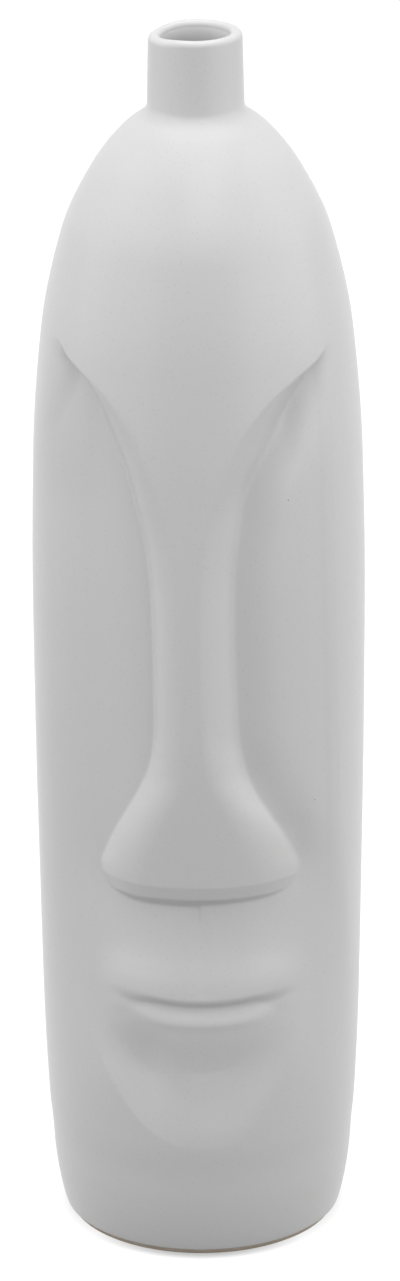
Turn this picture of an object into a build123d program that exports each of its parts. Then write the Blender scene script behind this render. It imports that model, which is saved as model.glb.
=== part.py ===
from build123d import *
import math
import os

os.makedirs("parts", exist_ok=True)

# A tall slip-cast vase: a round body drawn in to a narrow neck, with a plain, long
# face in relief on its front (-Y). It stands on the XY plane, its axis is Z, and its
# origin is the middle of its base. Lengths are in millimetres, angles in degrees.

# The whole vase, over its glaze
rim_height = 400.0
body_radius = 53.2
foot_radius = 43.3
corner_height = 24.0

# Neck and mouth, over the glaze
neck_radius = 14.65
neck_flare = 0.6
neck_height = 26.0
neck_blend = 3.4
lip_radius = 1.85
mouth_radius = 10.8

# Clay and glaze
wall = 3.9
base_thickness = 7.0
inside_corner = 16.0
glaze = 0.5
glaze_line = 2.2

# Face: heights of its parts above the ground
brow_tip_height = 303.5
nose_top_height = 182.0
nose_edge_height = 133.5
lip_height = 92.5
groove_height = 89.2
lower_lip_height = 84.6
hollow_height = 76.0
chin_height = 41.0

# Face: sizes across and depths
face_half_width = 45.0
eye_depth = 5.9
nose_half_width = 34.6
nose_sink = 2.0
philtrum_half_width = 2.2
philtrum_depth = 0.45
groove_depth = 2.0
groove_half_height = 1.9
mouth_half_width = 33.0
mouth_corner_rise = 3.6
lower_lip_half_width = 24.0
lower_lip_rise = 0.4
lower_lip_half_height = 2.4
hollow_half_width = 13.0
hollow_half_height = 5.0
hollow_depth = 1.5
chin_half_width = 27.5
chin_length = 34.0
chin_rise = 1.4
chin_edge = 7.0
dish_depth = 2.6
cheek_end = 16.0
muzzle_edge = 16.0
edge_softness = 0.7

# How finely the curved skins are laid out
front_step = 2.0
face_level_step = 2.5
plain_level_step = 6.0
corner_level_step = 2.5
neck_level_step = 1.6
inside_step = 6.0
inside_softness = 5.0
back_step = 14.0
lip_levels = 6

# Outline of the body: shares of the rim height and of the body radius
body_outline_shares = (
    (0.06, 0.921), (0.10, 0.9455), (0.18, 0.970), (0.30, 0.985), (0.42, 0.9965), (0.54, 1.0),
    (0.66, 0.983), (0.76, 0.925), (0.84, 0.797), (0.89, 0.622), (0.925, 0.4155), (0.945, 0.19),
)

# The nose and brows are one ridge. Its foot and its top edge on one side: shares of
# the height from the nose's edge to the brow's tip, and of the nose's half width
ridge_foot_shares = (
    (-0.02, 0.991), (0.0, 1.0), (0.03, 0.954), (0.07, 0.864), (0.118, 0.728), (0.164, 0.590),
    (0.208, 0.480), (0.249, 0.419), (0.285, 0.396), (0.332, 0.387), (0.463, 0.379), (0.57, 0.387),
    (0.653, 0.431), (0.718, 0.503), (0.777, 0.618), (0.837, 0.780), (0.908, 0.983), (0.955, 1.107),
    (1.0, 1.223),
)
ridge_top_shares = (
    (-0.02, 0.584), (0.018, 0.514), (0.059, 0.428), (0.093, 0.353), (0.136, 0.257), (0.178, 0.156),
    (0.214, 0.090), (0.249, 0.075), (0.297, 0.066), (0.392, 0.061), (0.475, 0.064), (0.54, 0.072),
    (0.602, 0.087), (0.653, 0.107), (0.694, 0.139), (0.733, 0.185), (0.777, 0.257), (0.819, 0.341),
    (0.866, 0.448), (0.908, 0.592), (0.95, 0.795), (0.979, 1.012), (1.0, 1.223),
)

# The middle line between nose and mouth: shares of the height from the lip to the
# nose's edge, and of the eye depth, inwards
philtrum_shares = (
    (0.0, 0.0), (0.061, 0.05), (0.146, 0.17), (0.244, 0.36), (0.354, 0.57), (0.488, 0.77), (0.67, 0.93),
    (0.866, 1.0), (1.0, 1.0),
)

# The hollows of the eyes and cheeks on one side: shares of the face's half width, and
# of the eye depth, inwards
eye_hollow_shares = (
    (0.0, 1.0), (0.3, 0.975), (0.39, 0.856), (0.467, 0.712), (0.533, 0.6), (0.6, 0.534),
    (0.733, 0.407), (0.867, 0.237), (0.944, 0.085), (1.0, 0.0),
)

# How the forms fade into each other
chin_line_power = 2.6
nose_sink_power = 1.7
rim_middle_share = 0.2
edge_start_share = 0.2
cheek_start_share = 0.35
flare_share = 0.6
flare_end_share = 0.5
corner_share = 1.52
corner_draw_share = 0.6
steepest_share = 2.0
hollow_top_share = 0.935
shoulder_share = 1.3
throat_share = 0.7

half_turn = 180


def smooth(share):
    """0 to 1 in an S, held past its ends."""
    share = max(0.0, min(1.0, share))
    return share * share * (3 - 2 * share)


def soft_max(a, b, softness):
    """The greater of the two, rounded where they cross."""
    share = max(0.0, min(1.0, 0.5 + 0.5 * (a - b) / softness))
    return b + (a - b) * share + softness * share * (1 - share)


def bump(distance, half_size):
    return math.exp(-((distance / half_size) ** 2))


def slopes(pairs):
    """Slopes of a smooth curve through the pairs that never overshoots them."""
    rises = [(b[1] - a[1]) / (b[0] - a[0]) for a, b in zip(pairs, pairs[1:])]
    inner = [0.0 if a * b <= 0 else 2 * a * b / (a + b) for a, b in zip(rises, rises[1:])]
    return [rises[0], *inner, rises[-1]]


def curve(pairs, tangents, share):
    """The smooth curve's value at a share, held past its ends."""
    if share <= pairs[0][0]:
        return pairs[0][1]
    if share >= pairs[-1][0]:
        return pairs[-1][1]
    spot = next(i for i in range(len(pairs)) if pairs[i + 1][0] >= share)
    low, high = pairs[spot], pairs[spot + 1]
    span = high[0] - low[0]
    t = (share - low[0]) / span
    start = low[1] * (1 + 2 * t) + tangents[spot] * span * t
    end = high[1] * (3 - 2 * t) - tangents[spot + 1] * span * (1 - t)
    return start * (1 - t) ** 2 + end * t**2


body_slopes = slopes(body_outline_shares)
foot_slopes = slopes(ridge_foot_shares)
top_slopes = slopes(ridge_top_shares)
philtrum_slopes = slopes(philtrum_shares)
hollow_slopes = slopes(eye_hollow_shares)


# The round body
hollow_top = rim_height * hollow_top_share


def corner(height, low_radius, high_radius):
    """The rounded corner between the base and the wall."""
    turn = math.acos(max(0.0, 1 - height / corner_height))
    return low_radius + (high_radius - low_radius) * math.sin(turn) ** corner_share


def body_outline(height):
    top_of_corner = body_radius * curve(body_outline_shares, body_slopes, corner_height / rim_height)
    if height < corner_height:
        return corner(height, foot_radius, top_of_corner)
    return body_radius * curve(body_outline_shares, body_slopes, height / rim_height)


def lean(height):
    """How much longer a step square to the wall is when it is taken level."""
    low, high = max(0.0, height - glaze), height + glaze
    slope = (body_outline(high) - body_outline(low)) / (high - low)
    return min(steepest_share, math.hypot(1, slope))


def outline(height, inset):
    """Radius of the plain round form, a coat or a wall further in than the glaze."""
    neck = neck_radius + neck_flare * max(0.0, rim_height - height) / neck_height - inset
    lip_centre = rim_height - lip_radius
    if height > lip_centre:
        drop = math.sqrt(max(0.0, (lip_radius - inset) ** 2 - (height - lip_centre) ** 2))
        return neck - (lip_radius - inset) + drop
    return soft_max(body_outline(height) - inset * lean(height), neck, neck_blend)


# The face, as a height over the round body. across is the distance from its middle line.
def eye_hollow(across, height):
    side = curve(eye_hollow_shares, hollow_slopes, abs(across) / face_half_width)
    cheek = smooth((height - (lip_height + nose_edge_height) / 2) / cheek_end + cheek_start_share)
    return -eye_depth * side * cheek


def ridge(across, height):
    """The nose and the brows it runs up into. Their crest sinks a little to the nose's edge."""
    away = abs(across)
    level = max(height, nose_edge_height)
    share = (level - nose_edge_height) / (brow_tip_height - nose_edge_height)
    foot = nose_half_width * curve(ridge_foot_shares, foot_slopes, share)
    top = nose_half_width * curve(ridge_top_shares, top_slopes, share)
    up = max(0.0, min(1.0, (foot - away) / max(foot - top, glaze)))
    low = max(0.0, (nose_top_height - level) / (nose_top_height - nose_edge_height))
    crest = -nose_sink * low**nose_sink_power
    side = crest * up + eye_hollow(foot, level) * (1 - up)
    return side - max(0.0, away - foot) - (level - height)


def upper_lip(across, height):
    """The skin between the nose and the mouth."""
    share = (height - lip_height) / (nose_edge_height - lip_height)
    middle = -eye_depth * curve(philtrum_shares, philtrum_slopes, share)
    sides = smooth((mouth_half_width - abs(across)) / muzzle_edge)
    floor = eye_hollow(across, height)
    form = floor + (middle - floor) * sides
    fade = smooth((height - lip_height) / groove_half_height)
    fade *= smooth((nose_edge_height - height) / lower_lip_half_height)
    return form - philtrum_depth * bump(across, philtrum_half_width) * fade


def mouth(across, height):
    away = abs(across)
    lift = mouth_corner_rise * (across / mouth_half_width) ** 2
    level = height - lift
    lip_side = smooth((mouth_half_width - away) / muzzle_edge)
    flare = smooth((level - lip_height) / groove_half_height + edge_start_share)
    flare *= smooth((nose_edge_height - level) / (nose_edge_height - lip_height) - flare_end_share)
    groove = bump(level - groove_height, groove_half_height)
    groove *= smooth((mouth_half_width - away) / (mouth_half_width - hollow_half_width + edge_softness))
    lower = bump(level - lower_lip_height, lower_lip_half_height)
    lower *= smooth((lower_lip_half_width - away) / (lower_lip_half_width - hollow_half_width))
    hollow = bump(height - hollow_height, hollow_half_height) * bump(across, hollow_half_width)
    rise = lower_lip_rise * (lower + flare_share * flare * lip_side)
    return rise - groove_depth * groove - hollow_depth * hollow


def chin(across, height):
    """A dish under the mouth with a raised rim in a U."""
    away = abs(across)
    above = height - chin_height - chin_length * (away / chin_half_width) ** chin_line_power
    rim = rim_middle_share + (1 - rim_middle_share) * smooth(away / hollow_half_width - edge_start_share)
    pad = rim * smooth(above / chin_edge + edge_start_share) * smooth((mouth_half_width - away) / muzzle_edge)
    dish = smooth((above - chin_edge) / cheek_end) * smooth((lower_lip_half_width - away) / hollow_half_width)
    fade = smooth((groove_height - height) / muzzle_edge)
    return (chin_rise * pad - dish_depth * dish) * fade


def relief(across, height):
    """How far the face stands out from the round body, inwards below zero."""
    if abs(across) > face_half_width or not chin_height - chin_edge < height < brow_tip_height:
        return 0.0
    skin = upper_lip(across, height) if height > lip_height else eye_hollow(across, height)
    skin += mouth(across, height) + chin(across, height)
    return soft_max(skin, ridge(across, height), edge_softness)


def inside_relief(across, height):
    """The face as the cast wall shows it inside: the same form, blurred."""
    spots = [
        (across + inside_softness * i, height + inside_softness * j) for i in (-1, 0, 1) for j in (-1, 0, 1)
    ]
    return sum(relief(*spot) for spot in spots) / len(spots)


def spaced(start, end, step):
    """Even places from start to end, both included."""
    count = max(1, math.ceil((end - start) / step))
    return [start + (end - start) * i / count for i in range(count + 1)]


def joined(*runs):
    places = []
    for run in runs:
        places += run if not places else run[1:]
    return places


def section_angles(step):
    """Turns round the axis from the back, close together across the face."""
    edge_turn = math.degrees(math.asin(min(1.0, face_half_width / body_radius)))
    face_turn = edge_turn + math.degrees(step / body_radius)
    front = spaced(half_turn - face_turn, half_turn + face_turn, math.degrees(step / body_radius))
    side = spaced(0, half_turn - face_turn, back_step)
    return joined(side, front, [2 * half_turn - turn for turn in reversed(side)])[:-1]


def section(height, inset, angles, plain, face):
    """A closed smooth line round the vase at one height."""
    radius = plain(height, inset)
    points = []
    for angle in angles:
        turn = math.radians(angle)
        out = radius
        if math.cos(turn) < 0 and height < brow_tip_height:
            out += face(body_outline(height) * math.sin(turn), height)
        points.append((out * math.sin(turn), out * math.cos(turn)))
    places = [angle / (2 * half_turn) for angle in angles]
    return Edge.make_spline(points, periodic=True, parameters=[*places, 1])


def form(heights, inset, angles, plain, face):
    """A closed solid through the sections at the heights."""
    with BuildPart() as solid:
        for height in heights:
            with BuildSketch(Plane.XY.offset(height)):
                with BuildLine():
                    add(section(height, inset, angles, plain, face))
                make_face()
        loft()
    return solid.part


def outside_heights(low, inset):
    """Levels from the foot to the crest of the lip."""
    lip_centre = rim_height - lip_radius
    shoulder = rim_height - neck_height * shoulder_share
    throat = rim_height - neck_height * throat_share
    lip_turns = spaced(0, math.pi / 2, math.pi / 2 / lip_levels)
    lip = [lip_centre + (lip_radius - inset) * math.sin(turn) for turn in lip_turns]
    return joined(
        spaced(low, corner_height, corner_level_step),
        spaced(corner_height, chin_height - chin_edge, plain_level_step),
        spaced(chin_height - chin_edge, brow_tip_height, face_level_step),
        spaced(brow_tip_height, shoulder, plain_level_step),
        spaced(shoulder, throat, neck_level_step),
        spaced(throat, lip_centre, plain_level_step),
        lip,
    )


def inside_heights(floor):
    """Levels from the floor inside to just past the bottom of the neck."""
    return joined(
        spaced(floor, floor + inside_corner, corner_level_step),
        spaced(floor + inside_corner, hollow_top - neck_height, inside_step),
        spaced(hollow_top - neck_height, hollow_top, corner_level_step),
    )


def inside_outline(height, inset):
    """Radius of the plain hollow inside, up to where the neck's bore takes over."""
    floor = base_thickness + inset - wall
    full = body_outline(height) - inset * lean(height)
    if height > floor + inside_corner:
        return full
    turn = math.acos(max(0.0, 1 - (height - floor) / inside_corner))
    low = full - inside_corner * corner_draw_share
    return low + (full - low) * math.sin(turn)


outside_angles = section_angles(front_step)
inside_angles = section_angles(inside_step)

glazed_form = form(outside_heights(glaze_line, 0.0), 0.0, outside_angles, outline, relief)
clay_form = form(outside_heights(0.0, glaze), glaze, outside_angles, outline, relief)
clay_hollow = form(inside_heights(base_thickness), wall, inside_angles, inside_outline, inside_relief)
glazed_hollow = form(
    inside_heights(base_thickness + glaze), wall + glaze, inside_angles, inside_outline, inside_relief
)

bore_bottom = hollow_top - neck_height / 2
lip_centre = rim_height - lip_radius
flare_centre = mouth_radius + lip_radius

# The clay: one casting, hollow, with its neck's bore rounded out at the lip
with BuildPart() as clay_body:
    add(clay_form)
    add(clay_hollow, mode=Mode.SUBTRACT)
    with BuildSketch(Plane.XZ):
        with BuildLine():
            Polyline(
                (flare_centre, rim_height - glaze), (flare_centre, rim_height), (0, rim_height),
                (0, bore_bottom), (mouth_radius + glaze, bore_bottom), (mouth_radius + glaze, lip_centre),
            )
            RadiusArc(
                (mouth_radius + glaze, lip_centre), (flare_centre, rim_height - glaze), lip_radius - glaze
            )
        make_face()
    revolve(axis=Axis.Z, mode=Mode.SUBTRACT)

# The outside glaze: a skin over the clay from just above the ground, round the lip
with BuildPart() as outer_glaze:
    add(glazed_form)
    add(clay_form, mode=Mode.SUBTRACT)
    with BuildSketch(Plane.XY.offset(rim_height - glaze)):
        Circle(flare_centre)
    extrude(amount=glaze, mode=Mode.SUBTRACT)
    with BuildSketch(Plane.XZ):
        with BuildLine():
            RadiusArc((mouth_radius, lip_centre), (flare_centre, rim_height), lip_radius)
            Line((flare_centre, rim_height), (flare_centre, rim_height - glaze))
            RadiusArc(
                (mouth_radius + glaze, lip_centre), (flare_centre, rim_height - glaze), lip_radius - glaze
            )
            Line((mouth_radius + glaze, lip_centre), (mouth_radius, lip_centre))
        make_face()
    revolve(axis=Axis.Z)

# The inside glaze: floor, wall and bore, up to the outside glaze in the mouth
with BuildPart() as liner_glaze:
    add(clay_hollow)
    with BuildSketch(Plane.XY.offset(bore_bottom)):
        Circle(mouth_radius + glaze)
    extrude(amount=lip_centre - bore_bottom)
    add(glazed_hollow, mode=Mode.SUBTRACT)
    with BuildSketch(Plane.XY.offset(bore_bottom)):
        Circle(mouth_radius)
    extrude(amount=lip_centre - bore_bottom, mode=Mode.SUBTRACT)

clay_body.part.label = "clay_body"
outer_glaze.part.label = "outer_glaze"
liner_glaze.part.label = "liner_glaze"

export_step(clay_body.part, "parts/clay_body.step")
export_step(outer_glaze.part, "parts/outer_glaze.step")
export_step(liner_glaze.part, "parts/liner_glaze.step")
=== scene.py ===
import math

import bpy
import numpy as np
from mathutils import Matrix, Vector


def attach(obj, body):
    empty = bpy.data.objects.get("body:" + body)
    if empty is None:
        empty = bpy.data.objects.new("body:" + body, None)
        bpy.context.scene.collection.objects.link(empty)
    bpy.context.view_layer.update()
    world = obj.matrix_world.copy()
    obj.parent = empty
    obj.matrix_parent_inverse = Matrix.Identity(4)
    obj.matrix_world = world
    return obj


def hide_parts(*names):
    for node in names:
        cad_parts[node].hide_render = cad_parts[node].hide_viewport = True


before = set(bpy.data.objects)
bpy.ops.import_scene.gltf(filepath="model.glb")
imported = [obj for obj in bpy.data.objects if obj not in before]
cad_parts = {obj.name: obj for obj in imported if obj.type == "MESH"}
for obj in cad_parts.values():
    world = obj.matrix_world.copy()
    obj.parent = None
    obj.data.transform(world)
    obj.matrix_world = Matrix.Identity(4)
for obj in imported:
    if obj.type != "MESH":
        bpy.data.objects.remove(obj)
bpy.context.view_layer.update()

# Sizes are in millimetres up to the meshes, which are in metres.
METRE = 0.001

# The vase, over its glaze
RIM = 400.0
BODY_RADIUS = 53.19
FOOT_RADIUS = 43.9
CORNER = 24.0
CORNER_POWER = 1.1
NECK_RADIUS = 14.65
NECK_FLARE = 0.6
NECK_HEIGHT = 26.0
NECK_BLEND = 3.4
LIP_RADIUS = 1.85
MOUTH_RADIUS = 10.8
LIP_CENTRE = RIM - LIP_RADIUS
FLARE_CENTRE = MOUTH_RADIUS + LIP_RADIUS

# Clay and glaze
WALL = 4.4
BASE = 7.0
GLAZE = 0.5
GLAZE_LINE = 2.2
INSIDE_CORNER = 16.0
INSIDE_CORNER_SHARE = 0.6

# Outline of the round body: (height, radius) as shares of RIM and BODY_RADIUS
BODY_OUTLINE = (
    (0.06, 0.921), (0.075, 0.9283), (0.10, 0.9455), (0.18, 0.970), (0.30, 0.985),
    (0.42, 0.9965), (0.54, 1.0), (0.66, 0.983), (0.76, 0.925), (0.84, 0.797),
    (0.89, 0.622), (0.925, 0.4155), (0.945, 0.19),
)

# How the wall leans out just above the rounded corner, and the longest a level step
# through the wall is taken to be
WALL_SLOPE = 0.065
LONGEST_STEP = 2.0

# The face: heights above the ground, and the middle line's lean from brow to chin
FACE_BOTTOM = 36.0
BROW_TIP = 309.5
NOSE_TOP = 182.0
NOSE_EDGE = 132.4
NOSE_LOWEST = 112.0
LIP = 93.3
GROOVE = 89.4
LOWER_LIP = 84.6
CHIN = 41.0
FACE_HALF = 52.0
FACE_LEAN = 0.021
LEAN_CENTRE = 195.0

# The face's form fades out at the sides, by the cosine of the turn from the front, and
# over this much height below the brows' tips
SIDE_FADE = 0.34
TOP_FADE = 4.0

# Half widths of the ridge's foot and of its top edge, by height
RIDGE_FOOT = (
    (131.0, 34.3), (135.0, 34.6), (139.8, 33.0), (146.9, 29.9), (154.8, 25.2), (162.6, 20.4),
    (170.0, 16.6), (177.0, 14.5), (183.0, 13.7), (191.0, 13.4), (213.0, 13.1), (231.0, 13.4),
    (245.0, 14.9), (256.0, 17.4), (266.0, 21.4), (276.0, 27.0), (288.0, 34.0), (296.0, 38.3),
    (303.5, 42.3), (309.5, 45.0),
)
RIDGE_TOP = (
    (131.0, 20.2), (138.0, 17.8), (145.0, 14.8), (150.6, 12.2), (158.0, 8.9), (165.0, 5.4),
    (171.0, 3.1), (177.0, 2.6), (185.0, 2.3), (201.0, 2.1), (215.0, 2.2), (226.0, 2.5),
    (236.4, 3.0), (245.0, 3.7), (252.0, 4.8), (258.5, 6.4), (266.0, 8.9), (273.0, 11.8),
    (281.0, 15.5), (288.0, 20.5), (295.0, 27.5), (300.0, 35.0), (303.5, 41.0), (309.5, 45.0),
)
# How much wider the foot is than that on the face's left (+X) and on its right (-X)
LEFT_FOOT_EXTRA = 1.9
RIGHT_FOOT_EXTRA = 1.6
FOOT_FADE = 18.0

# The skin under the nose: its depth by distance from the middle line on the left side,
# and how much of its depth is left towards the lip, by height
UNDER_NOSE_LEFT = (
    (0.0, -7.7), (6.0, -7.5), (12.0, -7.0), (18.0, -6.4), (24.0, -6.0), (28.0, -5.6),
    (34.0, -4.5), (40.0, -2.6), (46.0, 0.0),
)
LIP_RISE = (
    (41.0, 0.0), (74.0, 0.06), (88.0, 0.12), (94.0, 0.2), (96.5, 0.24), (99.5, 0.32),
    (103.0, 0.47), (107.5, 0.67), (113.0, 0.83), (120.0, 0.94), (128.0, 1.0),
)

# Depth of the eye and cheek hollows, by distance from the middle line, on the face's
# own right and left. On its left a channel runs along the ridge's foot.
HOLLOW_RIGHT = (
    (0.0, -7.7), (13.5, -7.6), (20.0, -7.6), (27.0, -7.5), (34.0, -6.9), (40.0, -5.1),
    (45.0, -2.8), (49.0, -0.9), (52.0, 0.0),
)
HOLLOW_LEFT = (
    (0.0, -3.0), (13.0, -3.0), (26.0, -2.5), (33.0, -2.1), (38.0, -1.5), (41.0, -1.0),
    (43.0, -0.35), (45.0, 0.0),
)
OUTER_END = ((262.0, 62.0), (285.0, 54.0), (309.5, 46.5))
HOLLOW_FADE = 10.0
CHANNEL_DEPTH = 4.3
CHANNEL_WIDTH = 8.5
LOW_CHANNEL_LOSS = 0.35

# How much nearer the middle line the face's right brow ends than its left one
BROW_DRAW = 0.1

# The nose: how hollow its sides are, how far its tip sinks back, and how it drops away
# under its edge, first in a bevel and then steeply
WALL_CURVE = 1.85
LEFT_CURVE_LOSS = 0.55
RIGHT_CURVE_GAIN = 0.1
NOSE_SINK = 2.4
NOSE_SINK_POWER = 1.4
BEVEL_HEIGHT = 4.6
BEVEL_SLOPE = 0.28
UNDERCUT_SLOPE = 0.6
BESIDE_SLOPE = 0.8

# The mouth, and the philtrum above it
MOUTH_HALF = 33.0
MOUTH_RISE = 3.6
MUZZLE_SHARE = 0.85
PHILTRUM_DEPTH = 0.25
PHILTRUM_HALF = 2.4
LOWER_LIP_RISE = 0.3
LOWER_LIP_HALF = 1.8
GROOVE_DEPTH = 1.3
GROOVE_HALF = 2.1

# The chin: the arch of its line, wider on the face's right, and how the hollow over it
# deepens, by height above that line
CHIN_ARCH = 34.0
CHIN_ARCH_POWER = 2.6
CHIN_HALF_RIGHT = 37.0
CHIN_HALF_LEFT = 29.0
CHIN_RAMP_LEFT = ((0.0, 0.0), (4.0, 0.1), (10.0, 0.4), (17.0, 0.74), (26.0, 1.0))
CHIN_RAMP_RIGHT = ((0.0, 0.0), (4.0, 0.15), (10.0, 0.42), (20.0, 0.85), (30.0, 1.0))
CHIN_DEPTH = 1.0
LOW_CHIN_DEPTH = 1.9
RIGHT_CHIN_DEPTH = 1.7
LEFT_CHIN_DEPTH = -0.4

# How far the neck's left shoulder sank
SINK = 1.1


def smooth(share):
    share = np.clip(share, 0.0, 1.0)
    return share * share * (3 - 2 * share)


def climb(value, start, span):
    """0 up to the start, and 1 from a span past it."""
    return smooth((value - start) / span)


def fall(value, end, span):
    """1 up to a span before the end, and 0 from the end."""
    return smooth((end - value) / span)


def soft_max(a, b, softness):
    share = np.clip(0.5 + 0.5 * (a - b) / softness, 0.0, 1.0)
    return b + (a - b) * share + softness * share * (1 - share)


def bump(distance, half_size):
    return np.exp(-((distance / half_size) ** 2))


def by_side(across, right, left):
    """One value on the face's own right (-X), and another on its left."""
    return np.where(across < 0, right, left)


def along(pairs, value):
    """A smooth line through the pairs that never overshoots them, held past its ends."""
    x, y = np.array(pairs).T
    rise = np.diff(y) / np.diff(x)
    before, after = rise[:-1], rise[1:]
    middle = np.where(before * after > 0, 2 * before * after / (before + after + 1e-12), 0.0)
    slope = np.concatenate(([rise[0]], middle, [rise[-1]]))
    value = np.clip(value, x[0], x[-1])
    spot = np.clip(np.searchsorted(x, value) - 1, 0, len(x) - 2)
    span = x[spot + 1] - x[spot]
    t = (value - x[spot]) / span
    start = y[spot] * (1 + 2 * t) + slope[spot] * span * t
    end = y[spot + 1] * (3 - 2 * t) - slope[spot + 1] * span * (1 - t)
    return start * (1 - t) ** 2 + end * t**2


def body(height):
    """Radius of the round body under the face."""
    wall = BODY_RADIUS * along(BODY_OUTLINE, np.maximum(height, CORNER) / RIM)
    turn = np.arccos(np.clip(1 - height / CORNER, 0.0, 1.0))
    full = wall - WALL_SLOPE * (CORNER - height)
    corner = FOOT_RADIUS + (full - FOOT_RADIUS) * np.sin(turn) ** CORNER_POWER
    return np.where(height < CORNER, corner, wall)


def slant(height):
    """How much longer a step square to the wall is when it is taken level."""
    slope = body(height + 0.5) - body(np.maximum(height - 0.5, 0.0))
    return np.minimum(LONGEST_STEP, np.hypot(1.0, slope))


def ridge_foot(across, height):
    """Half width of the ridge's foot on one side."""
    left = LEFT_FOOT_EXTRA * climb(height, 158.0, FOOT_FADE) * fall(height, 266.0, FOOT_FADE)
    right = RIGHT_FOOT_EXTRA * fall(height, 276.0, FOOT_FADE)
    return along(RIDGE_FOOT, height) + np.where(across > 0, left, right)


def eye_hollow(across, height):
    """Depth of the eye and cheek hollows."""
    away = np.abs(across)
    past = np.maximum(away - ridge_foot(across, height), 0)
    channel = CHANNEL_DEPTH * bump(past, CHANNEL_WIDTH) * fall(away, 47.0, 14.0)
    channel *= 1 - LOW_CHANNEL_LOSS * fall(height, 172.0, 20.0)
    depth = by_side(across, along(HOLLOW_RIGHT, away), along(HOLLOW_LEFT, away) - channel)
    below_tip = fall(height, BROW_TIP + 1.0, HOLLOW_FADE)
    return depth * below_tip * fall(away, along(OUTER_END, height), HOLLOW_FADE)


def ridge(across, height):
    """The nose and the brows that it runs up into."""
    away = np.abs(across)
    level = np.maximum(height, NOSE_EDGE)
    foot = ridge_foot(across, level)
    top = along(RIDGE_TOP, level)
    floor = eye_hollow(np.copysign(foot, across), level)
    down = np.clip((NOSE_TOP - level) / (NOSE_TOP - NOSE_EDGE), 0, 1)
    crest = -NOSE_SINK * down**NOSE_SINK_POWER
    up = np.clip((foot - away) / np.maximum(foot - top, 0.3), 0, 1)
    loss = np.where(across > 0, LEFT_CURVE_LOSS, -RIGHT_CURVE_GAIN)
    curve = WALL_CURVE - loss * climb(level, 165.0, 20.0)
    side = crest + (floor - crest) * (1 - up) ** curve
    under = level - height
    drop = BEVEL_SLOPE * under + UNDERCUT_SLOPE * np.maximum(under - BEVEL_HEIGHT, 0)
    return side - BESIDE_SLOPE * np.maximum(away - foot, 0) - drop


def floor_skin(across, height):
    """The skin behind the nose: the hollows, and the muzzle as it comes out to the lip."""
    away = np.abs(across)
    depth = by_side(across, along(HOLLOW_RIGHT, away), along(UNDER_NOSE_LEFT, away))
    muzzle = MUZZLE_SHARE * depth
    form = muzzle + (eye_hollow(across, height) - muzzle) * climb(height, 112.0, 30.0)
    outer = climb(away, 25.0, 13.0)
    left_over = along(LIP_RISE, height) * (1 - outer) + climb(height, 50.0, 85.0) * outer
    philtrum = bump(across, PHILTRUM_HALF) * climb(height, LIP, 3.0) * fall(height, 128.0, 6.0)
    return form * left_over - PHILTRUM_DEPTH * philtrum


def mouth_level(across, height):
    """Height as the mouth's line counts it, which rises to the mouth's corners."""
    return height - MOUTH_RISE * (across / MOUTH_HALF) ** 2


def mouth(across, height):
    """The lips: a groove between them, and the thin crest of the lower one."""
    away = np.abs(across)
    level = mouth_level(across, height)
    lower = bump(level - LOWER_LIP, LOWER_LIP_HALF) * fall(away, 25.0, 14.0)
    groove = bump(level - GROOVE, GROOVE_HALF) * fall(away, MOUTH_HALF + 3.0, 26.0)
    return LOWER_LIP_RISE * lower - GROOVE_DEPTH * groove


def chin(across, height):
    """The hollow under the upper lip, which comes out again to a U."""
    away = np.abs(across)
    half = by_side(across, CHIN_HALF_RIGHT, CHIN_HALF_LEFT)
    above = height - CHIN - CHIN_ARCH * (away / half) ** CHIN_ARCH_POWER
    aside = climb(away, 9.0, 12.0) * fall(height, LOWER_LIP + 5.0, 24.0)
    deep = CHIN_DEPTH + LOW_CHIN_DEPTH * fall(height, LOWER_LIP + 1.0, 21.0)
    deep = deep + by_side(across, RIGHT_CHIN_DEPTH, LEFT_CHIN_DEPTH) * aside
    left = along(CHIN_RAMP_LEFT, above)
    ramp = left + (along(CHIN_RAMP_RIGHT, above) - left) * climb(-across, 1.0, 13.0)
    edge = 3.2 + 10.0 * climb(away, 16.0, 16.0)
    below_lip = fall(mouth_level(across, height), LIP + 0.3, edge)
    return -deep * ramp * below_lip * fall(away, 46.0, 16.0)


def relief(across, height):
    """How far the face stands out from the round body, inwards below zero."""
    across = across * (1 + by_side(across, BROW_DRAW * climb(height, 250.0, 45.0), 0.0))
    skin = floor_skin(across, height) + mouth(across, height) + chin(across, height)
    with_nose = soft_max(skin, ridge(across, height), 0.5)
    form = np.where(height > NOSE_LOWEST, with_nose, skin)
    inside = (np.abs(across) < FACE_HALF) & (height > FACE_BOTTOM) & (height < BROW_TIP)
    return np.where(inside, form * fall(height, BROW_TIP, TOP_FADE), 0.0)


def cast_relief(across, height):
    """The face as the cast wall shows it inside: the same form, blurred."""
    steps = (-5.0, 0.0, 5.0)
    return sum(relief(across + i, height + j) for i in steps for j in steps) / 9


def face_at(turn, height, form):
    """The face's form at a turn round the body, from the front."""
    across = body(height) * np.sin(turn) - FACE_LEAN * (LEAN_CENTRE - height)
    faded = form(across, height) * smooth(np.cos(turn) / SIDE_FADE)
    return np.where(np.cos(turn) > 0, faded, 0.0)


def turns(front_step, back_step):
    """Turns round the axis from the front, close together across the face."""
    half = math.radians(60)
    front = np.linspace(-half, half, round(2 * half * BODY_RADIUS / front_step) + 1)
    rest = 2 * math.pi - 2 * half
    back = np.linspace(half, half + rest, round(rest * BODY_RADIUS / back_step) + 1)[1:-1]
    return np.concatenate((front, back))


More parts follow.
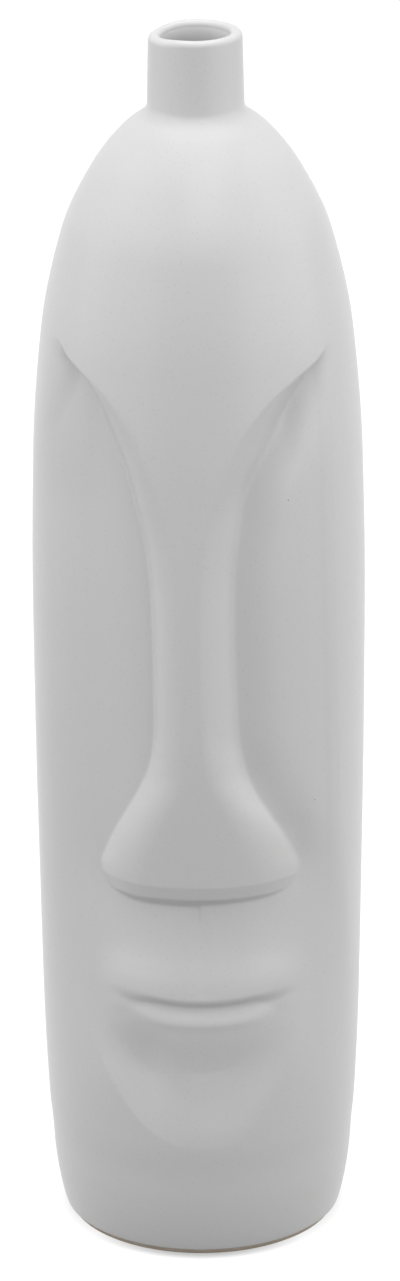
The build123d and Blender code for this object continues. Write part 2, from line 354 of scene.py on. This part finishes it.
def outer_profile(inset, low, step):
    """(height, radius) up the outside to the crest of the lip, for a coat this far in."""
    height = np.linspace(low, LIP_CENTRE, round((LIP_CENTRE - low) / step) + 1)
    neck = NECK_RADIUS - inset + NECK_FLARE * (RIM - height) / NECK_HEIGHT
    radius = soft_max(body(height) - inset * slant(height), neck, NECK_BLEND)
    turn = np.linspace(0, math.pi / 2, 9)[1:]
    lip = LIP_RADIUS - inset
    crest_height = LIP_CENTRE + lip * np.sin(turn)
    crest_radius = radius[-1] - lip + lip * np.cos(turn)
    return np.concatenate((height, crest_height)), np.concatenate((radius, crest_radius))


def lip_pairs(inset):
    """(radius, height) over the lip's crest into the mouth, for a coat this far in."""
    lip = LIP_RADIUS - inset
    return [
        (FLARE_CENTRE + lip * math.cos(turn), LIP_CENTRE + lip * math.sin(turn))
        for turn in np.linspace(math.pi / 2, math.pi, 9)
    ]


def hollow_profile(coat, step):
    """(height, radius) down the hollow from the neck's bore to the floor, over a coat."""
    floor, top = BASE + coat, RIM - NECK_HEIGHT
    height = np.linspace(floor, top, round((top - floor) / step) + 1)[::-1]
    full = body(height) - (WALL + coat) * slant(height)
    turn = np.arccos(np.clip(1 - (height - floor) / INSIDE_CORNER, 0.0, 1.0))
    radius = full - INSIDE_CORNER * INSIDE_CORNER_SHARE * (1 - np.sin(turn))
    return height, np.maximum(radius, MOUTH_RADIUS + GLAZE - coat)


def grid(angle, profile, form):
    """Rows of points round the vase with the face's form, one row for each height."""
    turn, level = np.meshgrid(angle, profile[0])
    out = profile[1][:, None] + face_at(turn, level, form)
    return np.stack((out * np.sin(turn), -out * np.cos(turn), level), axis=-1)


def ring(angle, pairs):
    """Rows of points round the vase with no face, through (radius, height) pairs."""
    radius, height = np.array(pairs).T
    turn, level = np.meshgrid(angle, height)
    out = np.broadcast_to(radius[:, None], turn.shape)
    return np.stack((out * np.sin(turn), -out * np.cos(turn), level), axis=-1)


def settle(points):
    """The neck's left shoulder, which sank a little in the kiln."""
    sunk = climb(points[..., 2], 384.0, 12.0) * climb(-points[..., 0], 3.0, 12.0)
    return points - np.stack((0 * sunk, 0 * sunk, SINK * sunk), axis=-1)


def piece_from(name, rows, node, close_start=False, close_end=False):
    """A smooth mesh through the rows, which stands for the CAD node."""
    points = settle(np.concatenate(rows))
    count, around = points.shape[:2]
    index = np.arange(count * around).reshape(count, around)
    after = np.roll(index, -1, axis=1)
    quads = np.stack((index[:-1], after[:-1], after[1:], index[1:]), axis=-1).reshape(-1, 4)
    faces = quads.tolist()
    corners = points.reshape(-1, 3)
    for close, row, flip in ((close_start, 0, True), (close_end, -1, False)):
        if close:
            middle = len(corners)
            corners = np.vstack((corners, points[row].mean(axis=0)))
            edge = list(zip(index[row].tolist(), after[row].tolist()))
            faces += [(b, a, middle) if flip else (a, b, middle) for a, b in edge]
    mesh = bpy.data.meshes.new(name)
    mesh.from_pydata((corners * METRE).tolist(), [], faces)
    mesh.shade_smooth()
    piece = bpy.data.objects.new(name, mesh)
    bpy.context.scene.collection.objects.link(piece)
    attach(piece, "root")
    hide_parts(node)
    return piece


def outside_glaze():
    """The outer coat, from its edge above the foot, up and round the lip into the mouth."""
    angle = turns(0.5, 2.6)
    profile = outer_profile(0.0, GLAZE_LINE + 0.35, 0.55)
    edge_radius = profile[1][0]
    edge = [
        (edge_radius - 0.9, GLAZE_LINE),
        (edge_radius - 0.35, GLAZE_LINE),
        (edge_radius - 0.08, GLAZE_LINE + 0.12),
    ]
    rows = [ring(angle, edge), grid(angle, profile, relief), ring(angle, lip_pairs(0.0))]
    return piece_from("glaze_outside", rows, "outer_glaze")


def clay_body():
    """The flat base, the bare foot, the wall under the glaze, and the hollow."""
    angle = turns(1.6, 4.0)
    profile = outer_profile(GLAZE, 0.6, 1.5)
    foot_radius = profile[1][0]
    base_edge = [(foot_radius - 1.2, 0.0), (foot_radius - 0.7, 0.05), (foot_radius - 0.25, 0.25)]
    rows = [
        ring(angle, base_edge),
        grid(angle, profile, relief),
        ring(angle, lip_pairs(GLAZE)),
        grid(angle, hollow_profile(0.0, 3.0), cast_relief),
    ]
    return piece_from("clay", rows, "clay_body", close_start=True, close_end=True)


def inside_glaze():
    """The lining, from the mouth down the bore to the floor."""
    angle = turns(2.4, 4.0)
    levels = np.linspace(LIP_CENTRE, RIM - NECK_HEIGHT, 8)[:-1]
    bore = [(MOUTH_RADIUS, level) for level in levels]
    rows = [ring(angle, bore), grid(angle, hollow_profile(GLAZE, 3.0), cast_relief)]
    return piece_from("glaze_inside", rows, "liner_glaze", close_end=True)


outer = outside_glaze()
clay = clay_body()
liner = inside_glaze()


class Tree:
    """The node tree of a material or world, with short calls for its nodes."""

    def __init__(self, owner, empty=False):
        owner.use_nodes = True
        self.tree = owner.node_tree
        if empty:
            self.tree.nodes.clear()

    def node(self, kind, inputs=None, **settings):
        """A new node. An input is a socket to link from, or a value; a colour has 3 parts."""
        made = self.tree.nodes.new(kind)
        for key, value in settings.items():
            setattr(made, key, value)
        for key, value in (inputs or {}).items():
            if isinstance(value, bpy.types.NodeSocket):
                self.tree.links.new(value, made.inputs[key])
            else:
                is_colour = isinstance(value, tuple)
                made.inputs[key].default_value = (*value, 1.0) if is_colour else value
        return made

    def place(self, kind="Object"):
        return self.node("ShaderNodeTexCoord").outputs[kind]

    def part(self, vector, axis):
        return self.node("ShaderNodeSeparateXYZ", {0: vector}).outputs[axis]

    def maths(self, operation, first, second):
        return self.node("ShaderNodeMath", {0: first, 1: second}, operation=operation).outputs[0]

    def noise(self, scale, detail):
        inputs = {"Vector": self.place(), "Scale": scale, "Detail": detail}
        return self.node("ShaderNodeTexNoise", inputs).outputs["Fac"]

    def cells(self, scale):
        inputs = {"Vector": self.place(), "Scale": scale}
        return self.node("ShaderNodeTexVoronoi", inputs).outputs["Distance"]

    def ranged(self, value, low, high, to_low=0.0, to_high=1.0):
        inputs = {
            "Value": value, "From Min": low, "From Max": high, "To Min": to_low, "To Max": to_high,
        }
        return self.node("ShaderNodeMapRange", inputs).outputs["Result"]

    def mixed(self, share, first, second):
        """The first colour where the share is 0, and the second where it is 1."""
        first_input, second_input, result = 6, 7, 2
        inputs = {"Factor": share, first_input: first, second_input: second}
        return self.node("ShaderNodeMix", inputs, data_type="RGBA").outputs[result]

    def bumpy(self, height, distance):
        inputs = {"Strength": 1.0, "Distance": distance, "Height": height}
        return self.node("ShaderNodeBump", inputs).outputs["Normal"]

    def finish_surface(self, colour, roughness, normal):
        shader = self.tree.nodes["Principled BSDF"]
        for key, source in (("Base Color", colour), ("Roughness", roughness), ("Normal", normal)):
            self.tree.links.new(source, shader.inputs[key])
        return shader


# The grey of the painted shade down the bore, and the shares of a glaze's darker colour in its
# pits and in its iron specks
BORE_PAINTED_SHADE = (0.36, 0.36, 0.36)
PIT_SHADE = 0.91
SPECK_SHADE = 0.45


def satin_glaze(name, light, dark, painted_shade_heights=None):
    """Clouded glaze with pits and a few iron specks, turning to painted shade below the given
    heights.
    """
    material = bpy.data.materials.new(name)
    nodes = Tree(material)
    colour = nodes.mixed(nodes.ranged(nodes.noise(12, 1), 0.2, 0.8), light, dark)
    pit = nodes.ranged(nodes.cells(620), 0.05, 0.22, 1.0, 0.0)
    colour = nodes.mixed(pit, colour, tuple(PIT_SHADE * part for part in dark))
    if painted_shade_heights:
        # Painted shade: below the given heights the colour turns to the painted shade's grey,
        # where the bore lies in shade
        height = nodes.part(nodes.place(), "Z")
        colour = nodes.mixed(nodes.ranged(height, *painted_shade_heights), BORE_PAINTED_SHADE, colour)
    speck = nodes.ranged(nodes.cells(60), 0.012, 0.02, 1.0, 0.0)
    colour = nodes.mixed(speck, colour, tuple(SPECK_SHADE * part for part in dark))
    rough = nodes.ranged(nodes.noise(300, 1), 0.2, 0.8, 0.29, 0.33)
    shader = nodes.finish_surface(colour, rough, nodes.bumpy(nodes.noise(900, 1), 0.000012))
    shader.inputs["IOR"].default_value = 1.5
    return material


def bare_clay(name):
    """Unglazed tan clay with fine dark grit."""
    material = bpy.data.materials.new(name)
    nodes = Tree(material)
    cloud = nodes.ranged(nodes.noise(160, 4), 0.35, 0.65)
    colour = nodes.mixed(cloud, (0.62, 0.53, 0.43), (0.55, 0.46, 0.37))
    grit = nodes.ranged(nodes.cells(1400), 0.0, 0.2, 1.0, 0.0)
    colour = nodes.mixed(grit, colour, (0.40, 0.32, 0.25))
    rough = nodes.ranged(nodes.noise(500, 2), 0.3, 0.7, 0.78, 0.92)
    nodes.finish_surface(colour, rough, nodes.bumpy(nodes.noise(1200, 3), 0.00008))
    return material


MATERIALS = (
    ("outer_glaze", outer, satin_glaze(
        "white_satin_glaze", (0.655, 0.655, 0.655), (0.645, 0.645, 0.643),
    )),
    # The lining is painted far lighter than the outer coat near the mouth, and turns to painted
    # shade from 397.5 mm down to 388.5 mm in the bore
    ("liner_glaze", liner, satin_glaze(
        "inside_glaze", (0.93, 0.93, 0.93), (0.90, 0.90, 0.90), (0.3885, 0.3975),
    )),
    ("clay_body", clay, bare_clay("bare_tan_clay")),
)
for node, piece, material in MATERIALS:
    piece.data.materials.append(material)
    carried_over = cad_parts[node].data.materials
    carried_over.clear()
    carried_over.append(material)

# The vase's shadow on the floor: how far it reaches, and how light its darkest part is,
# which changes from front to back between two places
SHADOW_REACH = 0.0038
SHADOW_PLACES = (-0.046, -0.03)
SHADOW_LIGHTNESS = (0.42, 0.8)
FLOOR_GLOW = 0.9
FLOOR_HALF = 3.0


def floor_material():
    """White to the camera and in the glaze, with the vase's shadow on it."""
    material = bpy.data.materials.new("floor")
    nodes = Tree(material, empty=True)
    path = nodes.node("ShaderNodeLightPath").outputs
    seen = nodes.maths("MAXIMUM", path["Is Camera Ray"], path["Is Glossy Ray"])
    clear = nodes.node("ShaderNodeAmbientOcclusion", {"Distance": SHADOW_REACH}).outputs["AO"]
    depth = nodes.part(nodes.place(), "Y")
    darkest = nodes.ranged(depth, *SHADOW_PLACES, *SHADOW_LIGHTNESS)
    lightness = nodes.ranged(clear, 0.35, 0.95, darkest, FLOOR_GLOW)
    strength = nodes.maths("MULTIPLY", seen, lightness)
    glow = nodes.node("ShaderNodeEmission", {"Strength": strength}).outputs[0]
    diffuse = nodes.node("ShaderNodeBsdfDiffuse", {"Color": (0.2, 0.2, 0.2)}).outputs[0]
    both = nodes.node("ShaderNodeAddShader", {0: diffuse, 1: glow}).outputs[0]
    nodes.node("ShaderNodeOutputMaterial", {"Surface": both})
    return material


def flat_floor(half):
    corners = [(-half, -half, 0), (half, -half, 0), (half, half, 0), (-half, half, 0)]
    mesh = bpy.data.meshes.new("floor")
    mesh.from_pydata(corners, [], [(0, 1, 2, 3)])
    mesh.materials.append(floor_material())
    floor = bpy.data.objects.new("floor", mesh)
    bpy.context.scene.collection.objects.link(floor)


flat_floor(FLOOR_HALF)


def studio_world(ambient):
    """White to the camera and in the glaze behind the vase; dimmer where it lights it."""
    world = bpy.data.worlds.new("studio")
    bpy.context.scene.world = world
    nodes = Tree(world, empty=True)
    path = nodes.node("ShaderNodeLightPath").outputs
    mirrored = nodes.maths("MAXIMUM", path["Is Glossy Ray"], path["Is Transmission Ray"])
    behind = nodes.ranged(nodes.part(nodes.place("Generated"), "Y"), -0.1, 0.3)
    mirrored = nodes.maths("MULTIPLY", mirrored, behind)
    white_share = nodes.maths("MAXIMUM", mirrored, path["Is Camera Ray"])
    dim = nodes.node("ShaderNodeBackground", {"Strength": ambient}).outputs[0]
    white = nodes.node("ShaderNodeBackground", {"Strength": 1.0}).outputs[0]
    mix = nodes.node("ShaderNodeMixShader", {0: white_share, 1: dim, 2: white}).outputs[0]
    nodes.node("ShaderNodeOutputWorld", {"Surface": mix})


studio_world(0.78)


def softbox(name, place, aim, width, height, power):
    light = bpy.data.lights.new(name, "AREA")
    light.shape = "RECTANGLE"
    light.size = width
    light.size_y = height
    light.energy = power
    lamp = bpy.data.objects.new(name, light)
    lamp.location = place
    lamp.rotation_euler = (Vector(aim) - Vector(place)).to_track_quat("-Z", "Y").to_euler()
    bpy.context.scene.collection.objects.link(lamp)
    return lamp


# Softboxes in a curve on each side, in a low and a high row: a panel's turn from the
# front, left below zero, and the powers of the low and of the high one
PANEL_SIZE = (0.36, 0.75)
PANEL_DISTANCE = 1.6
PANEL_RISES = (7, 36)
PANELS = (
    (-34, 0.69, 0.50), (-47, 0.71, 0.54), (-61, 0.86, 0.67), (-76, 1.15, 0.81),
    (-92, 1.29, 0.82), (-112, 0.35, 0.10), (40, 1.02, 0.20), (53, 1.15, 0.32),
    (67, 1.29, 0.48), (81, 1.38, 0.61), (96, 1.40, 0.61), (114, 0.20, 0.10),
)
MIDDLE = Vector((0, 0, 0.2))
for turn, *powers in PANELS:
    for rise, power in zip(PANEL_RISES, powers):
        side, up = math.radians(turn), math.radians(rise)
        level_share = math.cos(up)
        way = Vector((math.sin(side) * level_share, -math.cos(side) * level_share, math.sin(up)))
        place = MIDDLE + way * PANEL_DISTANCE
        softbox(f"panel_{turn}_{rise}", place, MIDDLE, *PANEL_SIZE, power)

# Two softboxes over the vase, one behind it, and a card that only the glaze mirrors
softbox("softbox_over", (0, 0, 1.7), (0, 0, 0), 1.2, 0.8, 3.3)
softbox("softbox_close_over", (0, 0, 1.0), MIDDLE, 0.9, 0.9, 2.0)
card = softbox("reflected_card", (0.22, -1.03, 1.43), MIDDLE, 0.9, 0.5, 2.2)
card.visible_diffuse = False
softbox("softbox_behind", (0, 0.8, 1.6), MIDDLE, 0.8, 0.6, 2.0)

# Camera: the photo's viewpoint, 21.6 degrees above the vase and 2 degrees round it
PHOTO_HEIGHT = 1281
FOCAL_PIXELS = 6196
SENSOR_HEIGHT = 36.0
CAMERA_DISTANCE = 2.0
CAMERA_RISE = math.radians(21.6)
CAMERA_TURN = math.radians(2.0)
CAMERA_ROLL = math.radians(-0.375)
CAMERA_AIM = 0.1748
SHIFT_PIXELS = (0.4, 66.4)

camera = bpy.data.cameras.new("camera")
camera.sensor_fit = "VERTICAL"
camera.sensor_height = SENSOR_HEIGHT
camera.lens = FOCAL_PIXELS / PHOTO_HEIGHT * SENSOR_HEIGHT
camera.shift_x = SHIFT_PIXELS[0] / PHOTO_HEIGHT
camera.shift_y = SHIFT_PIXELS[1] / PHOTO_HEIGHT
camera.clip_start = 0.05
viewer = bpy.data.objects.new("camera", camera)
bpy.context.scene.collection.objects.link(viewer)
level_reach = CAMERA_DISTANCE * math.cos(CAMERA_RISE)
viewpoint = Vector((
    math.sin(CAMERA_TURN) * level_reach,
    -math.cos(CAMERA_TURN) * level_reach,
    CAMERA_AIM + CAMERA_DISTANCE * math.sin(CAMERA_RISE),
))
viewer.matrix_world = (
    Matrix.Translation(viewpoint)
    @ Matrix.Rotation(CAMERA_TURN, 4, "Z")
    @ Matrix.Rotation(math.pi / 2 - CAMERA_RISE, 4, "X")
    @ Matrix.Rotation(CAMERA_ROLL, 4, "Z")
)
bpy.context.scene.camera = viewer
bpy.context.scene.view_settings.view_transform = "Standard"
